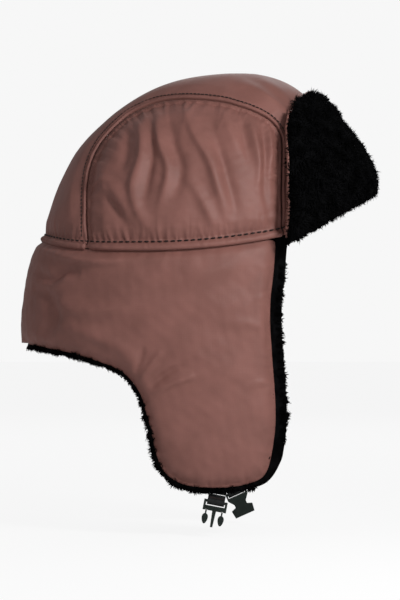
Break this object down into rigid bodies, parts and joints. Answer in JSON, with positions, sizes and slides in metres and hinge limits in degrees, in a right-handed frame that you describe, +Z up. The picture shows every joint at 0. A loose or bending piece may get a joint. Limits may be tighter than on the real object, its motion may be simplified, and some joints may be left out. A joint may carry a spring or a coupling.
{
  "type": "trapper hat",
  "caption": "Padded trapper hat with a fur-faced front flap, fold-up ear flaps with fur lining and a chin strap with a side-release buckle.",
  "frame": {"origin": "middle of the head opening, level with the seam between the crown and the neck skirt", "axes": "+X towards the wearer's front, +Y towards the wearer's left, +Z up"},
  "size_m": [0.2626, 0.1952, 0.3337],
  "materials": {
    "shell_cloth": "satin",
    "wadding": "matte",
    "quilted_lining": "satin",
    "black_fur": "matte",
    "thread": "matte",
    "webbing": "matte",
    "black_plastic": "satin"
  },
  "bodies": {
    "hat": {"crown_side_panel_right": "shell_cloth", "crown_side_panel_left": "shell_cloth", "crown_centre_panel": "shell_cloth", "crown_wadding": "wadding", "crown_lining": "quilted_lining", "crown_hem_stitching": "thread", "panel_seam_stitching_right": "thread", "panel_seam_stitching_left": "thread", "skirt_shell": "shell_cloth", "skirt_wadding": "wadding", "skirt_fur_lining": "black_fur"},
    "front_flap": {"front_flap_backing": "shell_cloth", "front_flap_wadding": "wadding", "front_flap_fur": "black_fur"},
    "ear_flap_right": {"ear_flap_shell_right": "shell_cloth", "ear_flap_wadding_right": "wadding", "ear_flap_fur_right": "black_fur", "strap_sewn_end_right": "webbing"},
    "strap_right": {"chin_strap_right": "webbing", "strap_bar_tack_right": "thread"},
    "ear_flap_left": {"ear_flap_shell_left": "shell_cloth", "ear_flap_wadding_left": "wadding", "ear_flap_fur_left": "black_fur", "strap_sewn_end_left": "webbing"},
    "strap_left": {"chin_strap_left": "webbing", "strap_bar_tack_left": "thread"},
    "male_buckle": {"male_buckle_frame": "black_plastic"},
    "release_arm_front": {"male_buckle_arm_front": "black_plastic"},
    "release_arm_rear": {"male_buckle_arm_rear": "black_plastic"},
    "female_buckle": {"female_buckle_housing": "black_plastic"}
  },
  "joints": [
    {"name": "front_flap_fold", "type": "hinge", "parent": "hat", "child": "front_flap", "pos_m": [0.088, 0, 0.02], "axis": [0, 1, 0], "range_deg": [0, 72]},
    {"name": "ear_flap_fold_right", "type": "hinge", "parent": "hat", "child": "ear_flap_right", "pos_m": [0, -0.089, -0.088], "axis": [-1, 0, 0], "range_deg": [-8, 170]},
    {"name": "ear_flap_fold_left", "type": "hinge", "parent": "hat", "child": "ear_flap_left", "pos_m": [0, 0.089, -0.088], "axis": [1, 0, 0], "range_deg": [-8, 170]},
    {"name": "strap_swing_right", "type": "hinge", "parent": "ear_flap_right", "child": "strap_right", "pos_m": [0.0085, -0.06549, -0.18538], "axis": [-0.9816, 0, 0.1908], "range_deg": [-30, 45]},
    {"name": "strap_swing_left", "type": "hinge", "parent": "ear_flap_left", "child": "strap_left", "pos_m": [0.0215, 0.06415, -0.18672], "axis": [0.9135, 0, 0.4067], "range_deg": [-30, 45]},
    {"name": "male_buckle_pivot", "type": "hinge", "parent": "strap_right", "child": "male_buckle", "pos_m": [0.0077, -0.06549, -0.18951], "axis": [-0.9816, 0, 0.1908], "range_deg": [-50, 60]},
    {"name": "female_buckle_pivot", "type": "hinge", "parent": "strap_left", "child": "female_buckle", "pos_m": [0.02321, 0.06415, -0.19056], "axis": [0.9135, 0, 0.4067], "range_deg": [-50, 60]},
    {"name": "release_front", "type": "hinge", "parent": "male_buckle", "child": "release_arm_front", "pos_m": [0.01208, -0.06549, -0.19739], "axis": [0, 1, 0], "range_deg": [0, 12], "stiffness_Nm_per_rad": 0.02},
    {"name": "release_rear", "type": "hinge", "parent": "male_buckle", "child": "release_arm_rear", "pos_m": [0.00069, -0.06549, -0.19517], "axis": [0, 1, 0], "range_deg": [-12, 0], "stiffness_Nm_per_rad": 0.02}
  ],
  "couplings": [
    {"joint": "release_rear", "follows": "release_front", "ratio": -1}
  ]
}
